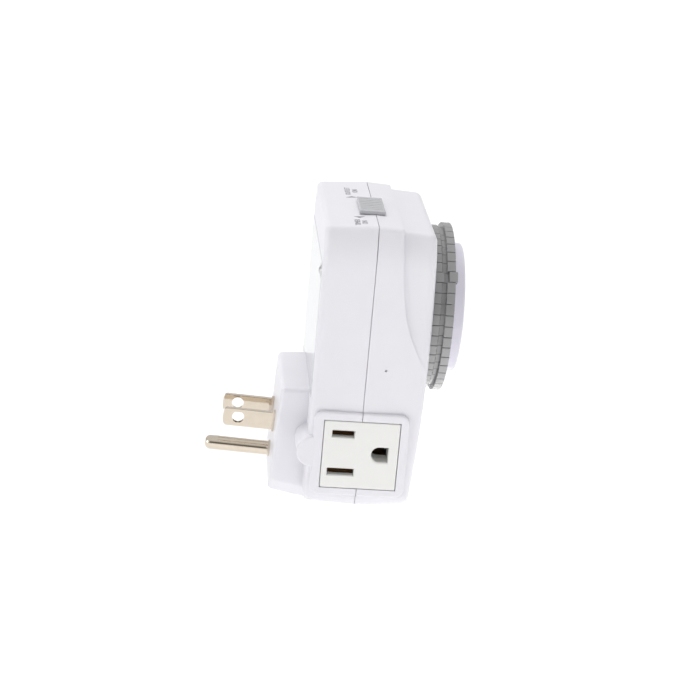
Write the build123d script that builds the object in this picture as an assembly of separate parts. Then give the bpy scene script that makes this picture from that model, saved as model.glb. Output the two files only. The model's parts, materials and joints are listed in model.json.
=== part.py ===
from build123d import *
import math
import os

# Plug-in mechanical 24-hour timer switch with a grounded plug on its back and a
# grounded outlet on each side.
#
# The drawing frame has its origin on the casing's parting plane (Y = 0), midway
# between the outlets' blade slots (Z = 0) and on the mid plane (X = 0). +Z is up,
# the dial faces -Y and the plug faces +Y. Every piece is moved to the row frame,
# whose origin is the centre of the plug face between the two flat blades, just
# before it is written. Millimetres throughout.

# ---------------------------------------------------------------- driving sizes
PLUG_Y = 26.0            # plug face, at the blades' height
PLUG_Z = -0.25           # height of the flat blades' centre line
PLUG_TILT = 3.0          # degrees: the pins point up a little, so the dial does too

HALF_W = 30.8            # casing half width at the parting plane
HALF_TOP = 28.15         # half width of the flat top
TOP_Z = 72.85            # top of the casing at the parting plane
FACET_Z = 60.8           # where the side wall starts to lean in
BOT_Z = -18.9
REAR_Y = 16.3            # rear wall
WALL = 1.9
FRONT_R = 600.0          # radius of the gently bowed front
FRONT_Y = -19.25         # foremost line of the bowed front
FRONT_Z = 36.0           # height of that line
TIER_IN = 1.1            # step in from the outer shell to the dial bezel
TIER_Y = -7.8            # where the bezel step starts at the top
SEAM_GAP = 0.22
SEAM_DEPTH = 0.7
CREASE_R = 2.3           # rounding of the two long top edges and the front's rim

DIAL_Z = 40.15           # height of the dial's axis
TRIP_N = 48              # one tripper each half hour
TRIP_R = 27.0            # outer radius of the trippers' heads
TRIP_GAP = 0.15
TRIP_FRONT = -25.9
TRIP_REAR = -16.8
TRIP_TRAVEL = 2.4
TRIP_PROUD = 0.65        # the one tripper that stands forward of the rest
TRIP_PROUD_I = 5         # its place: steps up from the -X side
DRUM_R = 24.38
POCKET_R = 27.65
POCKET_Y = -13.2
FLOOR_Y = -11.6          # inner face of the dial pocket's floor
FACE_R = 20.65           # raised centre disc
FACE_Y = -29.9
HUB_R = 4.0
AXLE_R = 1.5

GEAR_M = 0.6             # module of the gear train
Z_DIAL, Z_PIN, Z_IDLER, Z_MOTOR = 64, 10, 30, 10
MESH1_DEG = -50.0        # direction from dial axis to idler axis
MESH2_DEG = 130.0        # direction from idler axis to motor pinion
MOTOR_C = (0.0, 38.0)
MOTOR_R = 17.0

SLOT_PITCH = 12.7        # outlet: between the blade slots
SLOT_TO_GND = 11.9       # outlet: blade slots to ground hole
SLOT_Y = 5.55            # blade slot line
SLOT_H = 1.12            # half height of a blade slot
PLATE_Y = (-12.1, 11.7)
PLATE_Z = (-11.75, 10.6)
PLATE_X = 32.0
PLATE_GAP = 0.22
BOSS_Y = (-15.0, 15.0)
BOSS_Z = (-14.4, 13.5)
BOSS_X = 31.9

BLADE_T, BLADE_W, BLADE_L = 1.52, 5.95, 16.8
BLADE_HOLE_R, BLADE_HOLE_AT = 1.98, 11.9
BLADE_X = 6.35
GND_R, GND_L, GND_DROP = 2.32, 21.3, 12.2
GND_NOSE = 1.85          # rounding of the ground pin's end

SLIDE_X = (-14.4, 2.6)   # override slide, over its length
SLIDE_Y = (-3.0, 5.0)
SLIDE_TRAVEL = 5.6
SLIDE_TOP = TOP_Z + 1.13
FOLLOW_R = 25.6          # radius at which the follower pin meets the trippers

IDLER_C = (
    (Z_DIAL + Z_PIN) * GEAR_M / 2 * math.cos(math.radians(MESH1_DEG)),
    DIAL_Z + (Z_DIAL + Z_PIN) * GEAR_M / 2 * math.sin(math.radians(MESH1_DEG)),
)
PINION_C = (
    IDLER_C[0] + (Z_IDLER + Z_MOTOR) * GEAR_M / 2 * math.cos(math.radians(MESH2_DEG)),
    IDLER_C[1] + (Z_IDLER + Z_MOTOR) * GEAR_M / 2 * math.sin(math.radians(MESH2_DEG)),
)


# ---------------------------------------------------------------- small helpers
def box(x, y, z):
    return Pos((x[0] + x[1]) / 2, (y[0] + y[1]) / 2, (z[0] + z[1]) / 2) * Box(
        abs(x[1] - x[0]), abs(y[1] - y[0]), abs(z[1] - z[0])
    )


def ycyl(x, z, r, y0, y1):
    return Pos(x, (y0 + y1) / 2, z) * Rot(90, 0, 0) * Cylinder(r, abs(y1 - y0))


def xcyl(y, z, r, x0, x1):
    return Pos((x0 + x1) / 2, y, z) * Rot(0, 90, 0) * Cylinder(r, abs(x1 - x0))


def zcyl(x, y, r, z0, z1):
    return Pos(x, y, (z0 + z1) / 2) * Cylinder(r, abs(z1 - z0))


def prism(points, direction, length):
    return extrude(make_face(Polyline(*points, close=True)), amount=length, dir=direction)


def prism_xz(pts, y0, y1):
    return prism([(x, y0, z) for x, z in pts], (0, 1, 0), y1 - y0)


def prism_yz(pts, x0, x1):
    return prism([(x0, y, z) for y, z in pts], (1, 0, 0), x1 - x0)


def prism_xy(pts, z0, z1):
    return prism([(x, y, z0) for x, y in pts], (0, 0, 1), z1 - z0)


def soften(solid, edges, *radii):
    """Round the edges together, else one by one, with the first radius that takes."""
    edges = list(edges)
    for r in radii:
        try:
            out = fillet(edges, r)
            if out.is_valid and out.volume > 0.5 * solid.volume:
                return out
        except Exception:
            pass
    for e in edges:
        for r in radii:
            try:
                near = min(solid.edges(), key=lambda q: (q.center() - e.center()).length)
                out = fillet([near], r)
                if out.is_valid and out.volume > 0.5 * solid.volume:
                    solid = out
                    break
            except Exception:
                pass
    return solid


def solids_of(shape):
    return list(shape.solids())


# ---------------------------------------------------------------- casing outline
def outline(y, hw, ht, zt, zb, lean=0.0):
    """Casing cross-section in the plane at y: flat bottom with round corners, side
    walls that lean in by `lean` over their upper part, top corners that lean in on an
    arc, flat top."""
    k, rb, zl, zf = math.sin(math.radians(45)), 4.0, 20.0, FACET_Z
    cx, cz = hw - rb, zb + rb
    right = [
        Line((-cx, y, zb), (cx, y, zb)),
        ThreePointArc((cx, y, zb), (cx + rb * k, y, cz - rb * k), (hw, y, cz)),
    ]
    if lean:
        right += [
            Line((hw, y, cz), (hw, y, zl)),
            Spline((hw, y, zl), (hw - 0.55 * lean, y, 37.0), (hw - lean, y, 52.0),
                   (hw - lean, y, zf), tangents=[(0, 0, 1), (0, 0, 1)]),
        ]
    else:
        right += [Line((hw, y, cz), (hw, y, zf))]
    x0 = hw - lean
    dx, dz = x0 - ht, zt - zf
    rr = (dx * dx + dz * dz) / (2 * dx)
    a = math.asin(min(1.0, dz / rr)) / 2
    mid = (x0 - rr + rr * math.cos(a), y, zf + rr * math.sin(a))
    right += [ThreePointArc((x0, y, zf), mid, (ht, y, zt))]
    left = [e.mirror(Plane.YZ) for e in right[1:]]
    return make_face([*right, Line((ht, y, zt), (-ht, y, zt)), *left])


def casing_loft(y0, y1, draft, drop):
    """Tapered casing between two sections; the taper is per side and off the top."""
    return loft([
        outline(y0, HALF_W, HALF_TOP, TOP_Z, BOT_Z),
        outline(y1, HALF_W - draft, HALF_TOP - draft, TOP_Z - drop, BOT_Z + draft),
    ], ruled=True)


def creases(s):
    """The two long edges between the flat top and the leaning top corners."""
    return [e for e in s.edges()
            if abs(e.tangent_at(0.5).Y) > 0.9 and e.center().Z > TOP_Z - 4 and e.length > 8]


def cavity_prism(y0, y1, t):
    hw, ht, zt, zb = HALF_W - t - 0.5, HALF_TOP - t - 0.5, TOP_Z - t - 0.75, BOT_Z + t + 0.3
    pts = [(-hw + 2, zb), (hw - 2, zb), (hw, zb + 2), (hw, FACET_Z - 1.2), (ht, zt), (-ht, zt),
           (-hw, FACET_Z - 1.2), (-hw, zb + 2)]
    return prism_xz(pts, y0, y1)


def boss(side):
    """Raised rounded frame round an outlet, over both halves of the casing."""
    x0, x1 = (24.0, BOSS_X) if side > 0 else (-BOSS_X, -24.0)
    b = box((x0, x1), BOSS_Y, BOSS_Z)
    b = fillet(b.edges().filter_by(Axis.X), 3.0)
    face = b.faces().sort_by(Axis.X)[-1 if side > 0 else 0]
    return fillet(face.edges(), 0.75)


def plate_hole(side):
    g = PLATE_GAP
    x = (26.0, 34.0) if side > 0 else (-34.0, -26.0)
    return box(x, (PLATE_Y[0] - g, PLATE_Y[1] + g), (PLATE_Z[0] - g, PLATE_Z[1] + g))


def insert_pocket(side):
    """Room inside the casing for the outlet insert's flange."""
    x = (20.0, 29.75) if side > 0 else (-29.75, -20.0)
    return box(x, (-13.75, 13.35), (-13.25, 12.15))


def seam_ring():
    inner = prism_xz(
        [(-HALF_W + SEAM_DEPTH + 2, BOT_Z + SEAM_DEPTH), (HALF_W - SEAM_DEPTH - 2, BOT_Z + SEAM_DEPTH),
         (HALF_W - SEAM_DEPTH, BOT_Z + SEAM_DEPTH + 2), (HALF_W - SEAM_DEPTH, FACET_Z - 0.6),
         (HALF_TOP - SEAM_DEPTH, TOP_Z - SEAM_DEPTH), (-HALF_TOP + SEAM_DEPTH, TOP_Z - SEAM_DEPTH),
         (-HALF_W + SEAM_DEPTH, FACET_Z - 0.6), (-HALF_W + SEAM_DEPTH, BOT_Z + SEAM_DEPTH + 2)],
        -2, 2)
    return box((-40, 40), (-SEAM_GAP / 2, SEAM_GAP / 2), (-30, 90)) - inner


# plug plane: local x = X, local y = up along the tilted face, z = outward
T = math.radians(PLUG_TILT)
PLUG = Plane(origin=(0, PLUG_Y, PLUG_Z), x_dir=(-1, 0, 0), z_dir=(0, math.cos(T), math.sin(T)))


def plug_loc(x, up, out):
    """Location at (x, up, out) of the plug face, with local z pointing out."""
    return PLUG.location * Pos(-x, up, out)


# ---------------------------------------------------------------- rear housing
SCREW_AT = [(-25.0, 57.0), (24.0, -14.0)]   # two screws on a diagonal
PEG_AT = [(25.0, 57.0), (-24.0, -14.0)]     # locating pegs on the other
SCREW_SEAT = REAR_Y - 0.4


def plug_block():
    def ring(pts3):
        return make_face(Polyline(*pts3, close=True))

    def pts(hw, zt, zb, cx, cz):
        return [(-hw + cx, zb), (hw - cx, zb), (hw, zb + cz), (hw, zt), (-hw, zt), (-hw, zb + cz)]

    y0 = 14.0
    base = [(x, y0, z) for x, z in pts(18.75, 15.75, -22.5, 2.6, 4.6)]
    rear = []
    for x, up in pts(18.15, 15.55, -19.95, 2.5, 4.3):
        p = PLUG.from_local_coords(Vector(-x, up, 0))
        rear.append((p.X, p.Y, p.Z))
    b = loft([ring(base), ring(rear)], ruled=True)
    longs = [e for e in b.edges() if abs(e.tangent_at(0.5).Y) > 0.8 and e.length > 5]
    return soften(b, list(b.faces().sort_by(Axis.Y)[-1].edges()) + longs, 1.4, 1.2)


def ear(side):
    x0, x1 = (16.0, BOSS_X - 0.05) if side > 0 else (-BOSS_X + 0.05, -16.0)
    e = xcyl(14.85, -0.2, 5.0, x0, x1) + box((x0, x1), (8.0, 14.9), (-5.2, 4.8))
    face = e.faces().sort_by(Axis.X)[-1 if side > 0 else 0]
    return soften(e, face.edges(), 0.5, 0.35)


def rear_housing():
    shell = casing_loft(0, REAR_Y, 0.55, 0.9)
    shell = soften(shell, creases(shell), CREASE_R, 1.8)
    rim = shell.faces().sort_by(Axis.Y)[-1].edges()
    shell = soften(shell, rim, 1.9, 1.5, 1.1)
    for s in (-1, 1):
        b = boss(s) & box((-40, 40), (0, 20), (-30, 30))
        shell += b
        shell += ear(s)
    shell += plug_block()
    # hollow
    shell -= cavity_prism(-0.1, REAR_Y - 2.0, WALL)
    shell -= box((-16.2, 16.2), (REAR_Y - 3, REAR_Y + 0.1), (-15.6, 13.2))
    shell -= box((-16.2, 16.2), (REAR_Y, 22.6), (-18.6, 13.2))
    for s in (-1, 1):
        shell -= plate_hole(s)
        shell -= insert_pocket(s)
    # screw towers, with a shallow seat for each head in the rear wall, and locating pegs
    for x, z in SCREW_AT:
        shell += ycyl(x, z, 2.6, 0.0, REAR_Y - 1.0)
        shell -= ycyl(x, z, 1.45, -1, REAR_Y + 1)
        shell -= ycyl(x, z, 2.0, SCREW_SEAT, REAR_Y + 1)
    for x, z in PEG_AT:
        shell += ycyl(x, z, 2.6, 0.0, REAR_Y - 1.0)
        shell += ycyl(x, z, 1.15, -4.5, 1.0)
    # slot for the override slide's stem, half of it in each housing
    shell -= box((-8.0, 1.8), (-0.5, 1.85), (60, 80))
    # pins' exits
    shell -= blade_slot(BLADE_X)
    shell -= blade_slot(-BLADE_X)
    shell -= plug_loc(0, -GND_DROP, -3.5) * Cylinder(GND_R + 0.03, 12)
    shell -= seam_ring()
    return shell


def blade_slot(x):
    return plug_loc(x, 0, -3.0) * Box(BLADE_T + 0.06, BLADE_W + 1.06, 12)


# ---------------------------------------------------------------- front housing
def bowed_front(extra=0.0):
    """Everything behind the bowed front surface."""
    cy = FRONT_Y + FRONT_R + extra
    return xcyl(cy, FRONT_Z, FRONT_R, -45, 45) & box((-45, 45), (-26, 0), (-30, 90))


FRONT_DEPTH, FRONT_DRAFT, FRONT_DROP = 22.0, 0.75, 1.25


def rounded_front(s):
    front = s.faces().sort_by(Axis.Y)[0]
    return soften(s, list(front.edges()) + creases(s), CREASE_R, 1.8)


def tier_core():
    """What stays inside the bezel step; low down it runs just outside the casing, so
    the step fades away there."""
    out = 0.1
    sections = []
    for y in (0.5, -24.0):
        k = max(0.0, -y / FRONT_DEPTH)
        s, d = FRONT_DRAFT * k, FRONT_DROP * k
        sections.append(outline(y, HALF_W - s + out, HALF_TOP - s - TIER_IN, TOP_Z - d - TIER_IN,
                                BOT_Z - 6, TIER_IN + out))
    return rounded_front(loft(sections, ruled=True) & bowed_front(-0.04))


def front_housing():
    shell = rounded_front(casing_loft(0, -FRONT_DEPTH, FRONT_DRAFT, FRONT_DROP) & bowed_front())
    # the bezel step: top edge at TIER_Y, sweeping forward below the dial's middle
    step = make_face([
        Spline((0, TIER_Y, 90), (0, TIER_Y, 73), (0, -9.3, 52), (0, -11.4, 42.5), (0, -16.1, 31.8), (0, -23.0, 21.0)),
        Line((0, -23.0, 21.0), (0, -40, 21.0)),
        Line((0, -40, 21.0), (0, -40, 90)),
        Line((0, -40, 90), (0, TIER_Y, 90)),
    ])
    shell -= extrude(step, amount=45, dir=(1, 0, 0), both=True) - tier_core()
    for s in (-1, 1):
        q = boss(s) & box((-40, 40), (-20, 0), (-30, 30))
        shell += q
    # dial pocket with a small lip round it
    shell -= ycyl(0, DIAL_Z, POCKET_R, POCKET_Y, -30)
    # hollow
    shell -= cavity_prism(FLOOR_Y, 0.1, WALL)
    low_room = box((-HALF_W + 2.9, HALF_W - 2.9), (-15.2, FLOOR_Y + 0.1), (BOT_Z + 2.4, 9.4))
    shell -= low_room
    for s in (-1, 1):
        shell -= plate_hole(s)
        shell -= insert_pocket(s)
    for x, z in SCREW_AT:
        shell += ycyl(x, z, 2.6, FLOOR_Y - 0.5, -0.05)
        shell -= ycyl(x, z, 1.25, FLOOR_Y + 1.2, 1)
    for x, z in PEG_AT:
        shell += ycyl(x, z, 2.6, FLOOR_Y - 0.5, -0.05)
        shell -= ycyl(x, z, 1.25, -9, 1)
    # posts for the gear plate
    for x, z in POSTS:
        shell += ycyl(x, z, 2.2, FLOOR_Y - 0.5, PLATE_FACE)
        shell -= ycyl(x, z, 0.9, FLOOR_Y + 1.4, PLATE_FACE + 1)
    # follower guide, idler boss, hub hole
    fx, fz = 0.0, DIAL_Z - FOLLOW_R
    shell += ycyl(fx, fz, 2.9, FLOOR_Y - 0.5, -10.0)
    shell -= ycyl(fx, fz, 1.56, -14.5, -9)
    shell += ycyl(IDLER_C[0], IDLER_C[1], 1.0 + 1.0, FLOOR_Y - 0.4, -11.35)
    shell -= ycyl(IDLER_C[0], IDLER_C[1], 1.0, FLOOR_Y - 0.9, -10)
    shell -= ycyl(0, DIAL_Z, HUB_R + 0.06, -14, -11)
    shell -= box((-8.0, 1.8), (-1.85, 0.5), (60, 80))
    # pin-prick vent in the side wall
    shell -= xcyl(-6.0, 27.6, 0.4, -31.0, -29.75)
    shell -= seam_ring()
    return shell


# ---------------------------------------------------------------- outlets
def outlet_insert(side):
    """side -1 is the outlet at -X; its short (line) slot is the upper one. The other
    side's is the same piece turned over, so its short slot is the lower one."""
    def bx(x0, x1, y, z):
        return box((side * x0, side * x1) if side > 0 else (side * x1, side * x0), y, z)

    hot = -side * SLOT_PITCH / 2
    body = bx(29.3, PLATE_X, PLATE_Y, PLATE_Z)
    body = fillet(body.edges().filter_by(Axis.X), 0.5)
    outer = body.faces().sort_by(Axis.X)[-1 if side > 0 else 0]
    body = fillet(outer.edges(), 0.3)
    body += bx(28.2, 29.5, (-13.45, 13.05), (-12.95, 11.85))
    body += bx(12.4, 28.4, (-11.4, 11.0), (-11.0, 9.9))
    gy = SLOT_Y - SLOT_TO_GND
    # chambers for the contacts, open at the back
    for z, h in ((hot, 2.3), (-hot, 2.3)):
        body -= bx(11.0, 29.6, (SLOT_Y - 4.7, SLOT_Y + 4.7), (z - h, z + h))
    body -= bx(11.0, 25.3, (gy - 3.9, gy + 3.9), (-3.6, 3.6))
    # blade slots and ground hole, with lead-in bevels
    for z, half in ((hot, 3.5), (-hot, 4.2)):
        body -= bx(28.0, 33.0, (SLOT_Y - half, SLOT_Y + half), (z - SLOT_H, z + SLOT_H))
        bev = loft([
            make_face(Polyline(*[(side * (PLATE_X + 0.01), y, q) for y, q in rect(SLOT_Y, z, half + 0.28, SLOT_H + 0.25)], close=True)),
            make_face(Polyline(*[(side * (PLATE_X - 0.35), y, q) for y, q in rect(SLOT_Y, z, half, SLOT_H)], close=True)),
        ], ruled=True)
        body -= bev
    body -= d_hole(side, gy, 0.0, 24.0, 33.0)
    body -= d_hole(side, gy, 0.3, PLATE_X - 0.25, 33.0)
    return body


def rect(cy, cz, hy, hz):
    return [(cy - hy, cz - hz), (cy + hy, cz - hz), (cy + hy, cz + hz), (cy - hy, cz + hz)]


def d_hole(side, cy, grow, x0, x1):
    """D-shaped ground hole: round towards the blade slots, flat at the front."""
    r = 2.5 + grow
    y0 = cy + 0.2
    flat = y0 - 2.9 - grow
    xs = (x0, x1) if side > 0 else (-x1, -x0)
    return xcyl(y0, 0, r, *xs) + box(xs, (flat, y0), (-r, r)) - box(xs, (flat - 6, flat), (-6, 6))


def leaf_clip(side, z, tail_y, half_y):
    """Twin-leaf brass contact behind a blade slot, joined at its back."""
    def bx(x0, x1, y, zz):
        return box((x0, x1) if side > 0 else (-x1, -x0), y, zz)

    y = (SLOT_Y - half_y, SLOT_Y + half_y)
    c = bx(14.2, 26.4, y, (z + 0.80, z + 1.3))
    c += bx(14.2, 26.4, y, (z - 1.3, z - 0.80))
    # flared mouths
    def flare(sgn):
        pts = [(26.4, z + sgn * 0.80), (27.6, z + sgn * 1.5), (27.6, z + sgn * 2.0), (26.4, z + sgn * 1.3)]
        return prism_xz([(side * x, q) for x, q in pts], y[0], y[1])
    c += flare(1)
    c += flare(-1)
    c += bx(13.7, 14.2, y, (z - 1.3, z + 1.3))
    c += bx(10.6, 13.8, (tail_y - 0.4, tail_y + 0.4), (z - 1.8, z + 1.8))
    return c


def ground_clip(side):
    """Twin-leaf brass contact for the round pin."""
    def bx(x0, x1, y, zz):
        return box((x0, x1) if side > 0 else (-x1, -x0), y, zz)

    gy = SLOT_Y - SLOT_TO_GND
    y = (gy - 2.6, gy + 2.6)
    c = bx(11.4, 23.8, y, (2.42, 2.95)) + bx(11.4, 23.8, y, (-2.95, -2.42))
    def flare(sgn):
        pts = [(23.8, sgn * 2.42), (25.0, sgn * 2.95), (25.0, sgn * 3.4), (23.8, sgn * 2.95)]
        return prism_xz([(side * x, q) for x, q in pts], y[0], y[1])
    c += flare(1)
    c += flare(-1)
    c += bx(10.8, 11.4, y, (-2.95, 2.95))
    return c


# ---------------------------------------------------------------- pins
def blade(x):
    tip_c = 1.5
    half = BLADE_W / 2
    prof = make_face([
        Line((-half, 0, 0), (-half, BLADE_L - 1.5, 0)),
        ThreePointArc((-half, BLADE_L - 1.5, 0), (-half + 0.42, BLADE_L - 0.62, 0), (-half + 1.4, BLADE_L - 0.14, 0)),
        ThreePointArc((-half + 1.4, BLADE_L - 0.14, 0), (0, BLADE_L, 0), (half - 1.4, BLADE_L - 0.14, 0)),
        ThreePointArc((half - 1.4, BLADE_L - 0.14, 0), (half - 0.42, BLADE_L - 0.62, 0), (half, BLADE_L - 1.5, 0)),
        Line((half, BLADE_L - 1.5, 0), (half, 0, 0)),
        Line((half, 0, 0), (-half, 0, 0)),
    ])
    b = extrude(prof, amount=BLADE_T / 2, dir=(0, 0, 1), both=True)
    tip = [e for e in b.edges() if e.center().Y > BLADE_L - 1.5 and abs(abs(e.center().Z) - BLADE_T / 2) < 1e-3]
    try:
        b = chamfer(tip, 0.4)
    except Exception:
        pass
    sides = [e for e in b.edges().filter_by(Axis.Y) if e.length > 5]
    try:
        b = fillet(sides, 0.22)
    except Exception:
        pass
    b -= Pos(0.2, BLADE_HOLE_AT, 0) * Cylinder(BLADE_HOLE_R, 6)
    # shoulder at the root, then the shank inside the plug block and its fold-over tab
    b += Pos(0, 0.45, 0) * Box(BLADE_W + 1.0, 0.9, BLADE_T)
    b += Pos(0, -3.0, 0) * Box(BLADE_W, 6.1, BLADE_T)
    b += Pos(0, -4.9, 0) * Box(BLADE_W + 2.4, 1.6, BLADE_T)
    # local frame: x = up, y = out, z = -X
    pl = Plane(origin=PLUG.from_local_coords(Vector(-x, 0, 0)), x_dir=(0, -math.sin(T), math.cos(T)),
               z_dir=(-1, 0, 0))
    return pl.location * Rot(0, 0, 0) * orient(b, pl)


def orient(b, pl):
    """Turn the flat pattern so its length runs out of the plug face."""
    y_dir = pl.y_dir
    out = PLUG.z_dir
    return b if y_dir.dot(out) > 0 else b.mirror(Plane.XZ)


def ground_pin():
    p = Cylinder(GND_R, GND_L, align=(Align.CENTER, Align.CENTER, Align.MIN))
    ring = [e for e in p.edges() if abs(e.center().Z - GND_L) < 0.01]
    p = soften(p, ring, GND_NOSE, 1.6)
    p += Cylinder(GND_R + 0.35, 0.6, align=(Align.CENTER, Align.CENTER, Align.MIN))
    p += Pos(0, 0, -6.0) * Cylinder(GND_R, 6.05, align=(Align.CENTER, Align.CENTER, Align.MIN))
    p += Pos(0, 0, -5.8) * Cylinder(GND_R + 1.3, 1.5, align=(Align.CENTER, Align.CENTER, Align.MIN))
    return plug_loc(0, -GND_DROP, 0) * p


def blade_retainer():
    """Insulating plate that traps the blades' tabs against the plug block's wall."""
    p = plug_loc(0, -5.0, -6.9) * Box(28, 22, 1.2)
    for x in (-BLADE_X, BLADE_X):
        p -= plug_loc(x, 0, -6.9) * Box(BLADE_T + 2.6, 4.0, 4)
    p -= plug_loc(0, -GND_DROP, -6.9) * Cylinder(1.7, 4)
    return p


# ---------------------------------------------------------------- dial
def rot_y(shape, deg):
    """Turn about the dial's axis; a positive angle goes from +X towards +Z."""
    return Pos(0, 0, DIAL_Z) * Rot(0, -deg, 0) * Pos(0, 0, -DIAL_Z) * shape


def sector(r0, r1, y0, y1, gap=TRIP_GAP):
    """Block between two radii about the dial axis, one tripper pitch wide less the gap,
    centred on +X."""
    h = math.pi / TRIP_N
    def side_pt(r, sgn):
        a = sgn * (h - gap / 2 / r)
        return (r * math.cos(a), y0, DIAL_Z + r * math.sin(a))
    f = make_face([
        ThreePointArc(side_pt(r1, -1), (r1, y0, DIAL_Z), side_pt(r1, 1)),
        Line(side_pt(r1, 1), side_pt(r0, 1)),
        ThreePointArc(side_pt(r0, 1), (r0, y0, DIAL_Z), side_pt(r0, -1)),
        Line(side_pt(r0, -1), side_pt(r1, -1)),
    ])
    return extrude(f, amount=y1 - y0, dir=(0, 1, 0))


def tripper():
    head = sector(24.45, TRIP_R, TRIP_FRONT, -23.2)
    rim = [e for e in head.edges() if e.center().X > TRIP_R - 0.3]
    head = soften(head, rim, 0.22, 0.15)
    # shallow finger groove across the head
    neck = sector(24.45, 25.5, -23.3, -21.7)
    base = sector(24.45, 26.05, -21.8, TRIP_REAR)
    rim = [e for e in base.edges() if e.center().X > 25.7]
    base = soften(base, rim, 0.18, 0.12)
    rib = box((23.62, 24.7), (TRIP_FRONT + 1.65, TRIP_REAR), (DIAL_Z - 0.6, DIAL_Z + 0.6))
    return head + neck + base + rib


def dial_drum():
    d = ycyl(0, DIAL_Z, DRUM_R, -25.2, -14.2) - ycyl(0, DIAL_Z, 22.3, -27, -16.2)
    d += ycyl(0, DIAL_Z, HUB_R, -24.6, -8.9)
    d += ycyl(0, DIAL_Z, 6.0, -18.0, -16.1)
    for i in range(6):
        d += rot_y(box((3.0, 22.5), (-18.6, -16.1), (DIAL_Z - 0.6, DIAL_Z + 0.6)), 60 * i + 30)
    d += ycyl(0, DIAL_Z, 3.2, -9.0, -7.9)
    d -= ycyl(0, DIAL_Z, AXLE_R + 0.06, -22.0, -7)
    key = box((23.52, 25.5), (-26, -13), (DIAL_Z - 0.66, DIAL_Z + 0.66))
    keys = Compound([rot_y(key, 7.5 * i) for i in range(TRIP_N)])
    return d - keys


def dial_face():
    f = ycyl(0, DIAL_Z, FACE_R, FACE_Y, -26.2)
    edge = [e for e in f.edges() if abs(e.center().Y - FACE_Y) < 0.01]
    f = soften(f, edge, 0.5, 0.35)
    # shallow dish and a turning grip in the middle
    dish = ycyl(0, DIAL_Z, 9.5, FACE_Y - 1, FACE_Y + 0.7)
    f -= dish
    grip = box((-1.9, 1.9), (FACE_Y - 0.1, FACE_Y + 1.2), (DIAL_Z - 8.4, DIAL_Z + 8.4))
    grip = soften(grip, grip.edges().filter_by(Axis.Y), 1.6, 1.0)
    front = grip.faces().sort_by(Axis.Y)[0]
    grip = soften(grip, front.edges(), 0.4, 0.25)
    f += grip
    f += ycyl(0, DIAL_Z, 24.1, -26.3, -25.2)
    f += ycyl(0, DIAL_Z, 22.2, -25.3, -23.2) - ycyl(0, DIAL_Z, 20.6, -25.2, -22)
    f -= ycyl(0, DIAL_Z, HUB_R + 0.05, -25.3, -24.6)
    return f


def involute_gear(c, teeth, phase, y0, y1, add=0.8, ded=1.1, pa=25.0, backlash=0.12, bore=0.0, n=5):
    m = GEAR_M
    r = m * teeth / 2
    rb = r * math.cos(math.radians(pa))
    ra, rf = r + add * m, r - ded * m
    inv = lambda a: math.tan(a) - a
    half = math.pi / (2 * teeth) - backlash / 2 / (2 * r) + inv(math.radians(pa))
    r_start = max(rb, rf + 0.02)
    flank = []
    for i in range(n + 1):
        rr = r_start + (ra - r_start) * i / n
        a = math.acos(min(1.0, rb / rr))
        flank.append((rr, half - inv(a)))
    pts = []
    for k in range(teeth):
        t0 = math.radians(phase) + 2 * math.pi * k / teeth
        pts.append((rf, t0 - flank[0][1]))
        for rr, a in flank:
            pts.append((rr, t0 - a))
        for rr, a in reversed(flank):
            pts.append((rr, t0 + a))
        pts.append((rf, t0 + flank[0][1]))
    xz = [(c[0] + rr * math.cos(a), c[1] + rr * math.sin(a)) for rr, a in pts]
    g = prism_xz(xz, y0, y1)
    if bore:
        g -= ycyl(c[0], c[1], bore, y0 - 1, y1 + 1)
    return g


DG_Y = (-11.2, -9.0)
IDLER_PIN_Y = (-11.25, -8.75)
IDLER_WHEEL_Y = (-8.3, -6.3)
PLATE_FACE = -5.0
POSTS = [(-22.5, 47.5), (22.5, 47.5), (-22.5, 21.5)]


def dial_gear():
    g = involute_gear((0, DIAL_Z), Z_DIAL, MESH1_DEG, *DG_Y, bore=HUB_R)
    for i in range(4):
        g -= rot_y(ycyl(11.0, DIAL_Z, 3.2, -12, -8), 90 * i + 45)
    return g


def idler_gear():
    g = involute_gear(IDLER_C, Z_PIN, MESH1_DEG + 180 + 180.0 / Z_PIN, *IDLER_PIN_Y)
    g += ycyl(IDLER_C[0], IDLER_C[1], 3.9, -8.8, IDLER_WHEEL_Y[0])
    g += involute_gear(IDLER_C, Z_IDLER, MESH2_DEG, *IDLER_WHEEL_Y)
    g += ycyl(IDLER_C[0], IDLER_C[1], 2.0, IDLER_WHEEL_Y[1], PLATE_FACE - 0.15)
    g -= ycyl(IDLER_C[0], IDLER_C[1], 1.05, -12, -4)
    return g


def motor_pinion():
    g = involute_gear(PINION_C, Z_MOTOR, MESH2_DEG + 180 + 180.0 / Z_MOTOR, -8.5, -6.1)
    g += ycyl(PINION_C[0], PINION_C[1], 1.5, -6.2, -1.2)
    return g


def gear_plate():
    pts = [(-25.5, 18.5), (9, 18.5), (21.5, 15.5), (25.5, 19), (25.5, 51), (-25.5, 51)]
    p = prism_xz(pts, PLATE_FACE, PLATE_FACE + 1.4)
    for x, z in POSTS:
        p -= ycyl(x, z, 1.1, -7, -2)
    p -= ycyl(0, DIAL_Z, AXLE_R, -7, -2)
    p -= ycyl(IDLER_C[0], IDLER_C[1], 1.0, -7, -2)
    p -= ycyl(PINION_C[0], PINION_C[1], 2.6, -7, -2)
    for x in (-20.6, 20.6):
        p -= ycyl(x, MOTOR_C[1], 1.0, -7, -2)
    return p


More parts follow.
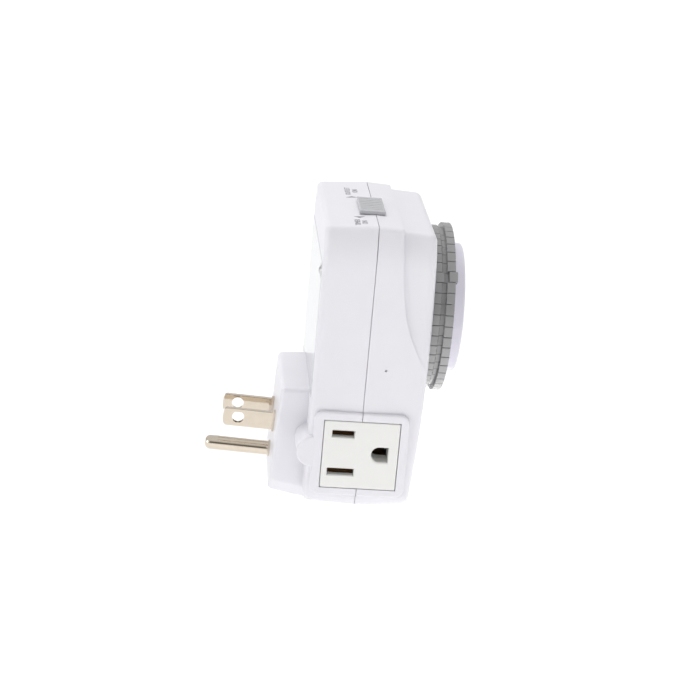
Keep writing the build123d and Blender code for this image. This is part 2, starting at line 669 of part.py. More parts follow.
def motor_end_plate():
    y0, y1 = PLATE_FACE + 1.4, PLATE_FACE + 2.4
    p = ycyl(MOTOR_C[0], MOTOR_C[1], MOTOR_R, y0, y1) + box((-23.4, 23.4), (y0, y1), (MOTOR_C[1] - 3, MOTOR_C[1] + 3))
    p -= ycyl(PINION_C[0], PINION_C[1], 1.56, -7, 0)
    for x in (-20.6, 20.6):
        p -= ycyl(x, MOTOR_C[1], 1.3, -7, 0)
    return p


def motor_can():
    y0 = PLATE_FACE + 2.4
    c = ycyl(MOTOR_C[0], MOTOR_C[1], MOTOR_R, y0, y0 + 12.0)
    rim = [e for e in c.edges() if e.center().Y > y0 + 11]
    c = soften(c, rim, 1.4, 1.0)
    c -= ycyl(MOTOR_C[0], MOTOR_C[1], MOTOR_R - 0.7, y0 - 1, y0 + 11.3)
    return c


def motor_coil():
    y0 = PLATE_FACE + 2.4
    ring = ycyl(MOTOR_C[0], MOTOR_C[1], 15.8, y0 + 3.2, y0 + 10.8)
    return ring - ycyl(MOTOR_C[0], MOTOR_C[1], 9.6, y0, y0 + 12)


def motor_rotor():
    y0 = PLATE_FACE + 2.4
    r = ycyl(MOTOR_C[0], MOTOR_C[1], 9.0, y0 + 4.0, y0 + 10.4)
    r += ycyl(MOTOR_C[0], MOTOR_C[1], 1.0, y0 + 2.0, y0 + 10.9)
    return r


def screw(x, z, y_head, length, r, rh, hh, direction):
    """Pan-head screw; direction +1: the shank runs towards -Y from its head."""
    y1 = y_head - direction * hh
    s = ycyl(x, z, rh, min(y_head, y1), max(y_head, y1))
    end = y1 - direction * length
    rim = [e for e in s.edges() if abs(e.center().Y - y_head) < 0.01]
    s = soften(s, rim, 0.5, 0.3)
    s -= box((x - 0.4, x + 0.4), (y_head - direction * 0.9, y_head + direction * 1), (z - 1.7, z + 1.7))
    s -= box((x - 1.7, x + 1.7), (y_head - direction * 0.9, y_head + direction * 1), (z - 0.4, z + 0.4))
    s += ycyl(x, z, r, min(y1, end) , max(y1, end))
    return s


def dome_screw(x, z, seat, length):
    """Small domed casing screw with a slot: head on its seat, shank towards -Y."""
    a, h = 1.75, 1.2
    r = (a * a + h * h) / (2 * h)
    s = (Pos(x, seat + h - r, z) * Sphere(r)) & box((x - 4, x + 4), (seat, seat + 4), (z - 4, z + 4))
    s -= box((x - 0.25, x + 0.25), (seat + 0.65, seat + 3), (z - 3, z + 3))
    return s + ycyl(x, z, 1.25, seat - length, seat + 0.2)


# ---------------------------------------------------------------- switch and wiring
LEVEL = 14.55            # height of the follower and the contact arm
ARM_X = (-14.0, 6.0)
ARM_Y = (-8.5, -8.1)


def follower_pin():
    fz = DIAL_Z - FOLLOW_R
    p = ycyl(0, fz, 1.0, -16.1, -12.9) + Pos(0, -16.0, fz) * Sphere(0.6)
    tip = ycyl(0, fz, 1.0, -16.6, -12.9)
    rim = [e for e in tip.edges() if abs(e.center().Y + 16.6) < 0.01]
    p = soften(tip, rim, 0.6, 0.4)
    p += ycyl(0, fz, 1.5, -13.0, -9.1)
    dome = (Pos(0, -8.6 - 2.5, fz) * Sphere(2.5)) & ycyl(0, fz, 1.5, -9.2, -8.0)
    p += dome
    p += ycyl(0, fz, 2.4, -9.93, -9.3)
    return p


def contact_arm():
    a = box((ARM_X[0], ARM_X[1]), ARM_Y, (12.5, 16.6))
    a += zcyl(ARM_X[0], -8.3, 0.8, 12.5, 16.6)
    a += ycyl(4.5, LEVEL, 1.2, -8.15, -7.5)
    return a


def root_tab(x):
    """Short tab that meets the end of a blade's shank through the retainer's slot."""
    return plug_loc(x, 0, -7.3) * Box(BLADE_T, 3.8, 2.5)


def line_terminal():
    """Line-in strip: from the line blade's shank to the contact arm's root, with the
    foot of the override's line strip."""
    z0, z1 = 12.3, 13.1
    pts = [(3.0, 17.6), (9.6, 17.6), (9.6, 8.4), (-10.8, 8.4), (-10.8, -6.4), (-16.4, -6.4), (-16.4, 9.6),
           (-21.4, 9.6), (-21.4, 11.9), (3.0, 11.9)]
    p = prism_xy(pts, z0, z1)
    p += box((-16.2, -11.8), (-7.25, -6.4), (12.3, 16.6))
    p += box((3.6, 9.0), (16.8, 17.6), (-3.0, 13.0))
    p += root_tab(BLADE_X)
    return p


def hot_bus():
    """Switched line: joins both outlets' line contacts and carries the fixed contact."""
    y = (3.1, 3.9)
    d = 2.0
    p = prism_xz([(-10.6, 6.35 - 1.8), (-10.6, 6.35 + 1.8), (-7.0, 6.35 + 1.8), (10.6, -6.35 + 1.8), (10.6, -6.35 - 1.8),
                  (7.0, -6.35 - 1.8)], *y)
    p += box((2.6, 6.4), y, (-1.0, 16.6))
    p += box((2.6, 6.4), (-3.6, 3.5), (15.9, 16.6))
    p += box((2.6, 6.4), (-3.6, -2.8), (12.5, 16.6))
    p += ycyl(4.5, LEVEL, 1.2, -4.12, -3.5)
    return p


def neutral_bus():
    y = (7.2, 8.0)
    p = prism_xz([(-10.6, -6.35 + 1.8), (-10.6, -6.35 - 1.8), (-7.0, -6.35 - 1.8), (10.6, 6.35 - 1.8), (10.6, 6.35 + 1.8),
                  (7.0, 6.35 + 1.8)], *y)
    p += box((-8.4, -4.2), (7.6, 17.6), (-4.4, -3.7))
    p += box((-8.4, -4.2), (16.8, 17.6), (-4.4, 1.3))
    p += root_tab(-BLADE_X)
    return p


def ground_bus():
    gy = SLOT_Y - SLOT_TO_GND
    p = box((-10.8, 10.8), (gy - 0.4, gy + 0.4), (-2.4, 2.4))
    p += box((-2.2, 2.2), (gy - 0.4, gy + 0.4), (-13.9, -2.0))
    p += box((-2.2, 2.2), (gy - 0.4, 17.0), (-13.9, -13.1))
    p += box((-1.5, 1.5), (16.4, 19.2), (-13.9, -12.4))
    return p


def override_line_strip():
    s = box((-21.4, -20.9), (5.0, 9.6), (12.3, 66.1))
    s += box((-21.4, -20.9), (3.0, 9.6), (62.0, 66.1))
    s += box((-21.4, -3.0), (3.0, 6.4), (65.5, 66.1))
    return s


def override_load_strip():
    s = box((20.9, 21.4), (5.0, 9.6), (10.4, 66.1))
    s += box((20.9, 21.4), (3.0, 9.6), (62.0, 66.1))
    s += box((3.4, 21.4), (3.0, 6.4), (65.5, 66.1))
    s += box((6.4, 21.4), (3.1, 6.0), (10.4, 11.0))
    return s


def slide_button():
    x0, x1 = SLIDE_X
    y0, y1 = SLIDE_Y
    zt = SLIDE_TOP
    # cap: flat landing at its near end, then ribs across
    b = box((x0, x1), (y0, y1), (TOP_Z + 0.12, zt))
    up = [e for e in b.edges() if abs(e.center().Z - zt) < 0.01]
    b = soften(b, up, 0.3, 0.2)
    n = 7
    pitch = (x1 - (x0 + 2.4)) / n
    for i in range(n):
        xc = x0 + 2.4 + pitch * i
        b -= prism_xz([(xc - 0.26, zt + 0.1), (xc + 0.26, zt + 0.1), (xc + 0.1, zt - 0.34), (xc - 0.1, zt - 0.34)],
                      y0 + 0.45, y1 - 0.45)
    xc = (x0 + x1) / 2
    b += box((xc - 2.0, xc + 2.0), (-1.6, 1.6), (68.4, TOP_Z + 0.2))
    b += box((xc - 6.2, xc + 6.2), (-3.0, 7.0), (67.6, 68.6))
    return b


def slide_contact():
    xc = (SLIDE_X[0] + SLIDE_X[1]) / 2
    c = box((xc - 6.0, xc + 6.0), (3.2, 6.2), (67.0, 67.6))
    c += box((xc - 6.0, xc - 4.6), (3.2, 6.2), (66.2, 67.1))
    c += box((xc + 4.6, xc + 6.0), (3.2, 6.2), (66.2, 67.1))
    return c


def wire(points, r, radii):
    path = FilletPolyline(*points, radius=radii)
    d = Vector(*points[1]) - Vector(*points[0])
    pl = Plane(origin=points[0], z_dir=d)
    return sweep(pl * Circle(r), path=path)


def rear_label():
    p = box((-28.0, 28.0), (REAR_Y, REAR_Y + 0.14), (16.2, 60.3))
    p = fillet(p.edges().filter_by(Axis.Y), 1.2)
    p -= ycyl(*SCREW_AT[0], 2.2, 15, 18)
    return p


# ---------------------------------------------------------------- build and write
def build():
    nodes = {}
    nodes["rear_housing"] = rear_housing()
    nodes["front_housing"] = front_housing()
    nodes["left_outlet_face"] = outlet_insert(-1)
    nodes["right_outlet_face"] = outlet_insert(1)
    nodes["rear_label"] = rear_label()
    nodes["housing_screws"] = [dome_screw(x, z, SCREW_SEAT, 22.0) for x, z in SCREW_AT]
    nodes["line_blade"] = blade(BLADE_X)
    nodes["neutral_blade"] = blade(-BLADE_X)
    nodes["ground_pin"] = ground_pin()
    nodes["blade_retainer"] = blade_retainer()
    for side, name in ((-1, "left"), (1, "right")):
        hot = -side * SLOT_PITCH / 2
        nodes[name + "_line_clip"] = leaf_clip(side, hot, 3.5, 3.6)
        nodes[name + "_neutral_clip"] = leaf_clip(side, -hot, 7.6, 4.3)
        nodes[name + "_ground_clip"] = ground_clip(side)
    nodes["line_in_strip"] = line_terminal()
    nodes["load_bus"] = hot_bus()
    nodes["neutral_bus"] = neutral_bus()
    nodes["ground_bus"] = ground_bus()
    nodes["override_line_strip"] = override_line_strip()
    nodes["override_load_strip"] = override_load_strip()
    nodes["contact_arm"] = contact_arm()
    nodes["follower_pin"] = follower_pin()
    nodes["override_slide"] = slide_button()
    nodes["slide_contact"] = slide_contact()
    nodes["dial_drum"] = dial_drum()
    nodes["dial_face"] = dial_face()
    nodes["dial_gear"] = dial_gear()
    nodes["dial_retainer"] = ycyl(0, DIAL_Z, 5.4, -8.85, -8.0) - ycyl(0, DIAL_Z, 3.2, -10, -7)
    nodes["dial_axle"] = ycyl(0, DIAL_Z, AXLE_R, -20.5, PLATE_FACE + 1.4)
    base = tripper()
    nodes["trippers"] = [rot_y(base, 7.5 * i) for i in range(TRIP_N) if i != (24 - TRIP_PROUD_I)]
    nodes["raised_tripper"] = Pos(0, -TRIP_PROUD, 0) * rot_y(base, 7.5 * (24 - TRIP_PROUD_I))
    nodes["gear_plate"] = gear_plate()
    nodes["gear_plate_screws"] = [screw(x, z, PLATE_FACE + 1.4 + 1.1, 5.6, 0.9, 1.9, 1.1, 1) for x, z in POSTS]
    nodes["idler_gear"] = idler_gear()
    nodes["idler_axle"] = ycyl(IDLER_C[0], IDLER_C[1], 1.0, FLOOR_Y - 0.8, PLATE_FACE + 1.4)
    nodes["motor_pinion"] = motor_pinion()
    nodes["motor_end_plate"] = motor_end_plate()
    nodes["motor_can"] = motor_can()
    nodes["motor_coil"] = motor_coil()
    nodes["motor_rotor"] = motor_rotor()
    nodes["motor_screws"] = [screw(x, MOTOR_C[1], PLATE_FACE + 2.4 + 1.0, 2.6, 1.0, 2.0, 1.0, 1) for x in (-20.6, 20.6)]
    nodes["motor_lead_neutral"] = wire([(-6.0, 9.4, 25.0), (-6.0, 13.2, 25.0), (-6.0, 13.2, -3.7)], 0.65, 1.8)
    nodes["motor_lead_line"] = wire([(6.0, 9.4, 25.0), (6.0, 11.1, 25.0), (6.0, 11.1, 13.1)], 0.65, 1.5)
    return nodes


def write(nodes):
    os.makedirs("parts", exist_ok=True)
    for old in os.listdir("parts"):
        if old.endswith(".step"):
            os.remove(os.path.join("parts", old))
    shift = Pos(0, -PLUG_Y, -PLUG_Z)
    for name, shape in nodes.items():
        if isinstance(shape, (list, tuple)):
            parts = [s for p in shape for s in p.solids()]
        else:
            parts = list(shape.solids())
        parts = [shift * s for s in parts]
        out = parts[0] if len(parts) == 1 else Compound(parts)
        export_step(out, os.path.join("parts", name + ".step"))


if __name__ == "__main__":
    write(build())
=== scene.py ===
import bpy
import bmesh
import json
import math
from mathutils import Matrix, Vector


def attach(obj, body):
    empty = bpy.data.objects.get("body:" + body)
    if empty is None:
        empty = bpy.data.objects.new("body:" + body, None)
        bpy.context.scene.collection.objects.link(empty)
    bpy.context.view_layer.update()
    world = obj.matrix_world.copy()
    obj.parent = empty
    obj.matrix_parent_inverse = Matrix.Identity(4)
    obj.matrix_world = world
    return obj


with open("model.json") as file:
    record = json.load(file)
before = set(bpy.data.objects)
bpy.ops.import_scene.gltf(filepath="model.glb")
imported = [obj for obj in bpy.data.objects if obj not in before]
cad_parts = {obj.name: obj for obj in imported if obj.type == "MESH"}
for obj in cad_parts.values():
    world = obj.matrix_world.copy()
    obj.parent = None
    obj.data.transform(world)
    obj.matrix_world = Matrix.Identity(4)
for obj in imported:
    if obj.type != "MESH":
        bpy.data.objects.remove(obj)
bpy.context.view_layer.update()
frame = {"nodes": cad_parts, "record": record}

NODES = frame["nodes"]
MM = 0.001
OFF = Vector((0.0, -26.0, 0.25))         # drawing frame to row frame, mm


def F(x, y, z):
    """A point of the drawing frame (seam plane, outlet height) in the row frame, metres."""
    return (Vector((x, y, z)) + OFF) * MM


DIAL_Z = 40.15
FACE_Y = -29.9

# ------------------------------------------------------------------ camera
cam_data = bpy.data.cameras.new("Camera")
cam = bpy.data.objects.new("Camera", cam_data)
bpy.context.scene.collection.objects.link(cam)
R = Vector((-0.06174, -0.99449, 0.08476)).normalized()
B = Vector((-0.94255, 0.08602, 0.32279))
B = (B - R * B.dot(R)).normalized()
U = B.cross(R).normalized()
M = Matrix(((R.x, U.x, B.x), (R.y, U.y, B.y), (R.z, U.z, B.z))).to_4x4()
M.translation = F(-600.51, 57.80, 228.93)
cam.matrix_world = M
cam_data.sensor_fit = "HORIZONTAL"
cam_data.sensor_width = 36.0
cam_data.lens = 1964.07 / 700.0 * 36.0
cam_data.clip_start = 0.01
cam_data.clip_end = 20.0
cam_data.dof.use_dof = False
bpy.context.scene.camera = cam

# ------------------------------------------------------------------ view and world
scene = bpy.context.scene
scene.view_settings.view_transform = "Standard"
scene.view_settings.look = "None"
scene.view_settings.exposure = 0.0
scene.view_settings.gamma = 1.0
world = bpy.data.worlds.new("Studio")
scene.world = world
world.use_nodes = True
bg = world.node_tree.nodes["Background"]
bg.inputs["Color"].default_value = (1.0, 1.0, 1.0, 1.0)
bg.inputs["Strength"].default_value = 0.58


def sun(name, came_from, irradiance, spread):
    """Large soft source far away, lighting from the given direction."""
    d = bpy.data.lights.new(name, "SUN")
    d.energy = irradiance
    d.angle = math.radians(spread)
    o = bpy.data.objects.new(name, d)
    scene.collection.objects.link(o)
    o.rotation_euler = (-Vector(came_from)).to_track_quat("-Z", "Y").to_euler()
    return o


sun("KeyRightTop", (0.50, 0.20, 0.87), 1.88, 50).visible_glossy = False
sun("SideLeft", (-0.97, -0.12, 0.02), 0.20, 16).visible_glossy = False
sun("RearFill", (-0.30, 0.93, 0.12), 0.85, 40)
sun("FrontFill", (-0.25, -0.85, 0.40), 0.25, 50)

# low reflector on the camera's side, lifting the walls and everything that faces down
ld = bpy.data.lights.new("LowLeft", "AREA")
ld.shape = "RECTANGLE"
ld.size, ld.size_y = 0.60, 0.30
ld.energy = 0.72
low = bpy.data.objects.new("LowLeft", ld)
scene.collection.objects.link(low)
low.location = (-0.60, -0.12, -0.27)
low.rotation_euler = (Vector((0.0, -0.03, 0.02)) - low.location).to_track_quat("-Z", "Y").to_euler()
low.visible_glossy = False


# ------------------------------------------------------------------ node helpers
class Mat:
    """Short way to write a procedural material."""

    def __init__(self, name):
        self.m = bpy.data.materials.new(name)
        self.m.use_nodes = True
        self.t = self.m.node_tree
        self.b = self.t.nodes["Principled BSDF"]
        self.out = self.t.nodes["Material Output"]
        tc = self.t.nodes.new("ShaderNodeTexCoord")
        self.obj = tc.outputs["Object"]

    def node(self, kind, **kw):
        n = self.t.nodes.new(kind)
        for k, v in kw.items():
            setattr(n, k, v)
        return n

    def link(self, a, b):
        self.t.links.new(a, b)

    def set(self, **kw):
        for k, v in kw.items():
            s = self.b.inputs[k.replace("_", " ")]
            s.default_value = v if not (isinstance(v, tuple) and len(v) == 3) else (*v, 1.0)
        return self

    def noise(self, scale, detail=2.0, rough=0.5, vec=None, distortion=0.0):
        n = self.node("ShaderNodeTexNoise")
        n.inputs["Scale"].default_value = scale
        n.inputs["Detail"].default_value = detail
        n.inputs["Roughness"].default_value = rough
        n.inputs["Distortion"].default_value = distortion
        self.link(vec or self.obj, n.inputs["Vector"])
        return n.outputs["Fac"]

    def ramp(self, fac, stops, interp="LINEAR"):
        n = self.node("ShaderNodeValToRGB")
        n.color_ramp.interpolation = interp
        el = n.color_ramp.elements
        while len(el) > 1:
            el.remove(el[-1])
        for i, (p, c) in enumerate(stops):
            e = el[0] if i == 0 else el.new(p)
            e.position = p
            e.color = (*c, 1.0) if len(c) == 3 else c
        self.link(fac, n.inputs["Fac"])
        return n.outputs["Color"]

    def maprange(self, fac, lo, hi, to_lo, to_hi):
        n = self.node("ShaderNodeMapRange")
        for k, v in (("From Min", lo), ("From Max", hi), ("To Min", to_lo), ("To Max", to_hi)):
            n.inputs[k].default_value = v
        self.link(fac, n.inputs["Value"])
        return n.outputs["Result"]

    def bump(self, height, strength, distance):
        n = self.node("ShaderNodeBump")
        n.inputs["Strength"].default_value = strength
        n.inputs["Distance"].default_value = distance
        self.link(height, n.inputs["Height"])
        self.link(n.outputs["Normal"], self.b.inputs["Normal"])
        return n


def plastic(name, c0, c1, rough=(0.38, 0.5), grain=5200.0, bump=0.10, cloud=90.0, coat=0.0, spec=0.5):
    """Moulded plastic: slight colour drift, uneven sheen, fine spark-eroded grain."""
    p = Mat(name)
    f = p.noise(cloud, 3.0, 0.6)
    p.link(p.ramp(f, [(0.3, c0), (0.7, c1)]), p.b.inputs["Base Color"])
    g = p.noise(grain, 2.0, 0.6)
    p.link(p.maprange(p.noise(cloud * 4.0, 2.0), 0.3, 0.7, rough[0], rough[1]), p.b.inputs["Roughness"])
    p.bump(g, bump, 0.00006)
    p.set(Specular_IOR_Level=spec)
    if coat:
        p.set(Coat_Weight=coat, Coat_Roughness=0.2)
    return p.m


def metal(name, c0, c1, rough=(0.22, 0.34), axis=None, bump=0.06, spots=300.0):
    """Plated or rolled metal: long fine drawing lines and a little tarnish."""
    p = Mat(name)
    mp = p.node("ShaderNodeMapping")
    s = [1.0, 1.0, 1.0]
    if axis is not None:
        s[axis] = 0.04
    mp.inputs["Scale"].default_value = s
    p.link(p.obj, mp.inputs["Vector"])
    lines = p.noise(5200.0, 3.0, 0.6, mp.outputs["Vector"])
    f = p.noise(spots, 4.0, 0.62)
    p.link(p.ramp(f, [(0.32, c0), (0.68, c1)]), p.b.inputs["Base Color"])
    p.link(p.maprange(lines, 0.3, 0.7, rough[0], rough[1]), p.b.inputs["Roughness"])
    p.bump(lines, bump, 0.00004)
    p.set(Metallic=1.0)
    return p.m


MAT = {
    "housing": plastic("HousingWhite", (0.722, 0.715, 0.755), (0.736, 0.729, 0.769), rough=(0.36, 0.44)),
    "outlet": plastic("OutletWhite", (0.752, 0.748, 0.730), (0.757, 0.753, 0.734), rough=(0.30, 0.34), bump=0.02),
    "trippers": plastic("TripperGrey", (0.262, 0.262, 0.266), (0.276, 0.276, 0.28), rough=(0.23, 0.27), bump=0.03, spec=0.8),
    "dial": plastic("DialLilac", (0.690, 0.672, 0.745), (0.708, 0.690, 0.763), rough=(0.28, 0.36), spec=0.15),
    "slide": plastic("SlideGrey", (0.47, 0.475, 0.495), (0.49, 0.495, 0.515), rough=(0.12, 0.18), bump=0.05, spec=0.6),
    "nickel": metal("NickelPlate", (0.68, 0.605, 0.510), (0.725, 0.645, 0.545), rough=(0.06, 0.10), axis=1, bump=0.02),
    "brass": metal("BrassStrip", (0.62, 0.42, 0.18), (0.74, 0.54, 0.26), rough=(0.25, 0.4), axis=0),
    "bronze": metal("SpringBronze", (0.26, 0.165, 0.085), (0.35, 0.225, 0.12), rough=(0.3, 0.45), axis=0),
    "steel": metal("ZincSteel", (0.55, 0.55, 0.56), (0.68, 0.68, 0.69), rough=(0.3, 0.45)),
    "silver": metal("SilverRivet", (0.75, 0.74, 0.71), (0.83, 0.82, 0.80)),
    "nylon": plastic("NaturalAcetal", (0.74, 0.72, 0.66), (0.79, 0.77, 0.71), rough=(0.28, 0.4)),
    "insulator": plastic("FibreBoard", (0.16, 0.11, 0.08), (0.22, 0.16, 0.12), rough=(0.6, 0.8)),
    "motor_tin": metal("MotorTin", (0.60, 0.60, 0.59), (0.70, 0.70, 0.69), rough=(0.25, 0.4)),
    "coil": plastic("CoilTape", (0.36, 0.12, 0.05), (0.45, 0.17, 0.07), rough=(0.35, 0.5)),
    "rotor": plastic("RotorFerrite", (0.05, 0.05, 0.055), (0.08, 0.08, 0.085), rough=(0.5, 0.7)),
    "wire_black": plastic("WireBlack", (0.02, 0.02, 0.02), (0.035, 0.035, 0.035), rough=(0.35, 0.5)),
    "wire_white": plastic("WireWhite", (0.75, 0.75, 0.73), (0.8, 0.8, 0.78), rough=(0.35, 0.5)),
}


def foil():
    p = Mat("LabelFoil")
    f = p.noise(240.0, 3.0)
    p.link(p.ramp(f, [(0.3, (0.695, 0.705, 0.725)), (0.7, (0.71, 0.72, 0.74))]), p.b.inputs["Base Color"])
    p.link(p.maprange(p.noise(900.0, 2.0), 0.3, 0.7, 0.17, 0.2), p.b.inputs["Roughness"])
    p.bump(p.noise(140.0, 2.0), 0.01, 0.0002)
    p.set(Metallic=0.85)
    return p.m


MAT["label"] = foil()

for sub in frame["record"]["subparts"]:
    o = NODES[sub["node"]]
    m = MAT["bronze" if sub["node"].endswith("_clip") else sub["material_slot"]]
    o.data.materials.clear()
    o.data.materials.append(m)

# ------------------------------------------------------------------ floor
bpy.ops.mesh.primitive_plane_add(size=60.0, location=(0, 0, -0.36))
floor = bpy.context.object
floor.name = "Floor"
p = Mat("FloorPale")
p.link(p.ramp(p.noise(3.0, 2.0), [(0.3, (0.95, 0.95, 0.95)), (0.7, (0.96, 0.96, 0.96))]), p.b.inputs["Base Color"])
p.set(Roughness=0.9, Specular_IOR_Level=0.1)
floor.data.materials.append(p.m)

# a long dark flag low on the camera's side gives the plated pins something to reflect
fm = bpy.data.meshes.new("Flag")
fm.from_pydata([(-1.6, -0.9, 0.08), (-1.6, 0.5, 0.08), (-1.6, 0.5, 0.86), (-1.6, -0.9, 0.86)], [], [(0, 1, 2, 3)])
flag = bpy.data.objects.new("Flag", fm)
scene.collection.objects.link(flag)
flag.visible_camera = False
flag.visible_diffuse = False
flag.visible_shadow = False
p = Mat("FlagDark")
p.link(p.ramp(p.noise(2.0, 2.0), [(0.3, (0.150, 0.140, 0.120)), (0.7, (0.170, 0.160, 0.138))]), p.b.inputs["Base Color"])
p.set(Roughness=1.0, Specular_IOR_Level=0.0)
fm.materials.append(p.m)



def card(name, corners, strength):
    """Bright card seen only as a sheen on glossy things."""
    me = bpy.data.meshes.new(name)
    me.from_pydata(corners, [], [(0, 1, 2, 3)])
    o = bpy.data.objects.new(name, me)
    scene.collection.objects.link(o)
    o.visible_camera = False
    o.visible_diffuse = False
    o.visible_shadow = False
    p = Mat(name + "Face")
    p.link(p.ramp(p.noise(2.0, 2.0), [(0.3, (0.96, 0.96, 0.96)), (0.7, (1.0, 1.0, 1.0))]), p.b.inputs["Emission Color"])
    p.set(Base_Color=(0.02, 0.02, 0.02), Specular_IOR_Level=0.0, Emission_Strength=strength, Roughness=1.0)
    me.materials.append(p.m)


# pale dome all round, far behind everything
wall = bmesh.new()
DOME_R = 5.0
rings = []
for e in (0, 10, 20, 30, 40, 50, 60, 70, 80):
    c, h = DOME_R * math.cos(math.radians(e)), -0.36 + DOME_R * math.sin(math.radians(e))
    rings.append([wall.verts.new((c * math.cos(math.radians(7.5 * i)), c * math.sin(math.radians(7.5 * i)), h)) for i in range(48)])
for lo, hi in zip(rings, rings[1:]):
    for i in range(48):
        wall.faces.new((lo[i], hi[i], hi[(i + 1) % 48], lo[(i + 1) % 48]))
wall.faces.new(rings[-1])
wm = bpy.data.meshes.new("Backdrop")
wall.to_mesh(wm)
wall.free()
back = bpy.data.objects.new("Backdrop", wm)
scene.collection.objects.link(back)
back.visible_diffuse = False
back.visible_glossy = False
back.visible_shadow = False
p = Mat("BackdropPale")
p.link(p.ramp(p.noise(1.0, 2.0), [(0.3, (0.99, 0.99, 0.99)), (0.7, (1.0, 1.0, 1.0))]), p.b.inputs["Emission Color"])
p.set(Base_Color=(0.02, 0.02, 0.02), Specular_IOR_Level=0.0, Emission_Strength=1.02, Roughness=1.0)
wm.materials.append(p.m)

card("LowCard", [(-0.16, -0.30, -0.08), (0.12, -0.30, -0.08), (0.12, -0.046, -0.08), (-0.16, -0.046, -0.08)], 2.3)
card("SkyCard", [(-1.5, -3.0, 1.4), (5.0, -3.0, 1.4), (5.0, 3.0, 1.4), (-1.5, 3.0, 1.4)], 0.74)

# ------------------------------------------------------------------ printed marks
INK = {}


def ink(name, col, rough=0.5):
    """Pad-printed ink: patchy density and a dull sheen."""
    p = Mat(name)
    f = p.noise(1400.0, 3.0, 0.6)
    c1 = tuple(min(1.0, v * 1.25 + 0.015) for v in col)
    p.link(p.ramp(f, [(0.35, col), (0.75, c1)]), p.b.inputs["Base Color"])
    p.link(p.maprange(p.noise(700.0, 2.0), 0.3, 0.7, rough - 0.06, rough + 0.08), p.b.inputs["Roughness"])
    p.bump(p.noise(5200.0, 2.0), 0.08, 0.00005)
    return p.m


def text_mesh(body, size, align="CENTER", offset=0.0):
    """Flat outline of a short word as a bmesh, centred on the origin in its own XY plane."""
    cu = bpy.data.curves.new("tmp_text", "FONT")
    cu.body = body
    cu.size = size
    cu.align_x = align
    cu.align_y = "CENTER"
    cu.offset = offset
    cu.resolution_u = 6
    cu.extrude = 0.00004
    ob = bpy.data.objects.new("tmp_text", cu)
    scene.collection.objects.link(ob)
    dg = bpy.context.evaluated_depsgraph_get()
    me = bpy.data.meshes.new_from_object(ob.evaluated_get(dg))
    bpy.data.objects.remove(ob)
    bpy.data.curves.remove(cu)
    return me


def frame_at(origin, x_dir, up_dir):
    """Matrix whose local x is the reading direction and local y the letters' upright."""
    x = Vector(x_dir).normalized()
    y = Vector(up_dir)
    y = (y - x * y.dot(x)).normalized()
    z = x.cross(y)
    m = Matrix(((x.x, y.x, z.x), (x.y, y.y, z.y), (x.z, y.z, z.z))).to_4x4()
    m.translation = origin
    return m


def join(name, parts, mat, body):
    """One object from (mesh, matrix) pairs."""
    bm = bmesh.new()
    for me, mx in parts:
        tmp = bmesh.new()
        tmp.from_mesh(me)
        bmesh.ops.transform(tmp, matrix=mx, verts=tmp.verts)
        out = bpy.data.meshes.new("tmp")
        tmp.to_mesh(out)
        tmp.free()
        bm.from_mesh(out)
        bpy.data.meshes.remove(out)
    bmesh.ops.remove_doubles(bm, verts=bm.verts, dist=1e-7)
    bmesh.ops.recalc_face_normals(bm, faces=bm.faces)
    me = bpy.data.meshes.new(name)
    bm.to_mesh(me)
    bm.free()
    me.materials.append(mat)
    ob = bpy.data.objects.new(name, me)
    scene.collection.objects.link(ob)
    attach(ob, body)
    return ob


def slab(points, depth):
    """Flat polygon of the given outline, depth thick, centred on its own plane."""
    bm = bmesh.new()
    lo = [bm.verts.new((x, y, -depth / 2)) for x, y in points]
    hi = [bm.verts.new((x, y, depth / 2)) for x, y in points]
    bm.faces.new(list(reversed(lo)))
    bm.faces.new(hi)
    n = len(points)
    for i in range(n):
        bm.faces.new((lo[i], lo[(i + 1) % n], hi[(i + 1) % n], hi[i]))
    me = bpy.data.meshes.new("tmp_slab")
    bm.to_mesh(me)
    bm.free()
    return me


def ring_slab(r0, r1, a0, a1, depth, seg=96):
    """Flat ring sector between two angles (degrees)."""
    full = abs(a1 - a0) >= 359.9
    n = max(3, int(seg * abs(a1 - a0) / 360.0))
    bm = bmesh.new()
    rows = []
    for i in range(n if full else n + 1):
        a = math.radians(a0 + (a1 - a0) * i / n)
        c, s = math.cos(a), math.sin(a)
        rows.append([bm.verts.new((r * c, r * s, z)) for r, z in
                     ((r0, -depth / 2), (r1, -depth / 2), (r1, depth / 2), (r0, depth / 2))])
    m = len(rows)
    for i in range(m if full else m - 1):
        p, q = rows[i], rows[(i + 1) % m]
        for k in range(4):
            bm.faces.new((p[k], p[(k + 1) % 4], q[(k + 1) % 4], q[k]))
    if not full:
        bm.faces.new(rows[0])
        bm.faces.new(list(reversed(rows[-1])))
    bmesh.ops.recalc_face_normals(bm, faces=bm.faces)
    me = bpy.data.meshes.new("tmp_ring")
    bm.to_mesh(me)
    bm.free()
    return me


MAT["ink_grey"] = ink("InkGrey", (0.25, 0.25, 0.265))
MAT["ink_dark"] = ink("InkDark", (0.035, 0.035, 0.045))
MAT["ink_light"] = ink("InkLight", (0.78, 0.78, 0.80))

# words beside the override slide: read from the dial side, two short rows each
TOP_Z = 72.85
TOP_FALL = 0.9 / 16.3                    # the rear half's top falls this much per mm


def top_frame(x, y):
    n = Vector((0.0, TOP_FALL, 1.0)).normalized()
    return frame_at(F(x, y, TOP_Z - TOP_FALL * y) + n * 0.02 * MM, (1, 0, 0), (0, 1, -TOP_FALL))


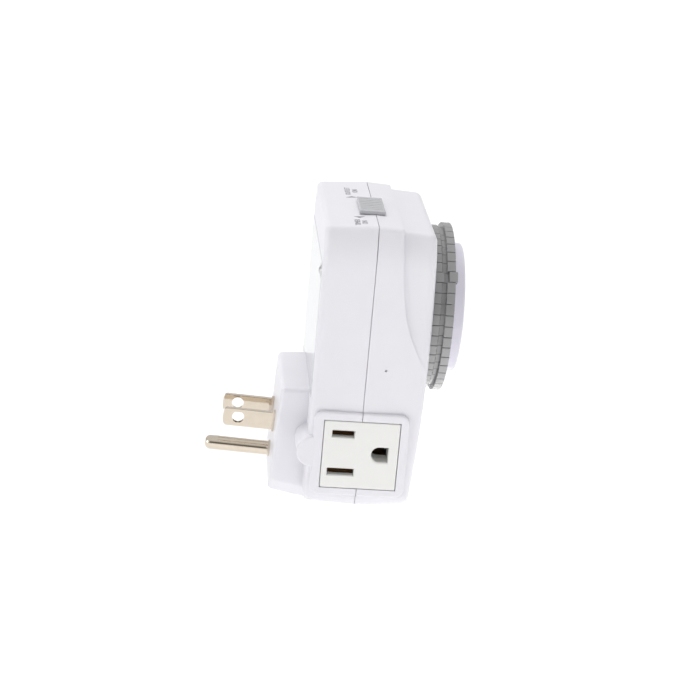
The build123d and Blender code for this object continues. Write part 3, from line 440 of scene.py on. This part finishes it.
marks = []
for x, y, word in ((14.3, 7.05, "OUTLET"), (14.6, 4.65, "ON"), (-23.2, 6.15, "TIMER"), (-23.2, 3.95, "ON")):
    marks.append((text_mesh(word, 2.45 * MM), top_frame(x, y)))
for ax, ay, pts in (
    (7.0, 6.0, [(6.35, 4.4), (7.85, 6.2), (6.35, 8.0)]),
    (-17.3, 5.3, [(-16.5, 3.6), (-16.5, 7.0), (-18.2, 5.3)]),
):
    marks.append((slab([((x - ax) * MM, (y - ay) * MM) for x, y in pts], 0.08 * MM), top_frame(ax, ay)))
join("SlideWords", marks, MAT["ink_grey"], "casing")

# dial: hours read round the raised disc, with a quarter-hour scale on the flange
DC = F(0, FACE_Y, DIAL_Z)


def dial_frame(r, deg, lift, y=FACE_Y):
    """deg is clockwise from the top as the reader sees it; letters stand outwards."""
    a = math.radians(deg)
    up = Vector((math.sin(a), 0, math.cos(a)))
    right = Vector((math.cos(a), 0, -math.sin(a)))
    return frame_at(F(0, y, DIAL_Z) + up * r * MM + Vector((0, -lift * MM, 0)), right, up)


parts = []
for h in range(24):
    n = h % 12 or 12
    parts.append((text_mesh(str(n), 2.9 * MM), dial_frame(17.6, 15.0 * h, 0.01)))
join("DialNumbers", parts, MAT["ink_dark"], "dial")
ticks = []
for q in range(96):
    w, r0 = (0.34, 21.3) if q % 4 == 0 else (0.2, 22.3)
    h = (23.8 - r0)
    ticks.append((slab([(-w / 2 * MM, -h / 2 * MM), (w / 2 * MM, -h / 2 * MM), (w / 2 * MM, h / 2 * MM), (-w / 2 * MM, h / 2 * MM)], 0.08 * MM),
                  dial_frame((23.8 + r0) / 2, 3.75 * q, 0.01, -26.3)))
join("DialTicks", ticks, MAT["ink_dark"], "dial")
# night half marked by a dark arc, day half by a thin one, and two turning arrows
arcs = [(ring_slab(13.7 * MM, 14.6 * MM, 0, 180, 0.06 * MM), dial_frame(0, 90, 0.01)),
        (ring_slab(14.2 * MM, 14.4 * MM, 180, 360, 0.06 * MM), dial_frame(0, 90, 0.01))]
for s in (0, 180):
    arcs.append((ring_slab(11.2 * MM, 11.7 * MM, 118 + s, 62 + s, 0.06 * MM), dial_frame(0, 0, 0.01)))
    arcs.append((slab([(-0.9 * MM, 0.95 * MM), (-0.9 * MM, -0.95 * MM), (0.9 * MM, 0)], 0.06 * MM),
                 dial_frame(11.45, 28 + 1.5 + s, 0.01)))
join("DialArcs", arcs, MAT["ink_dark"], "dial")
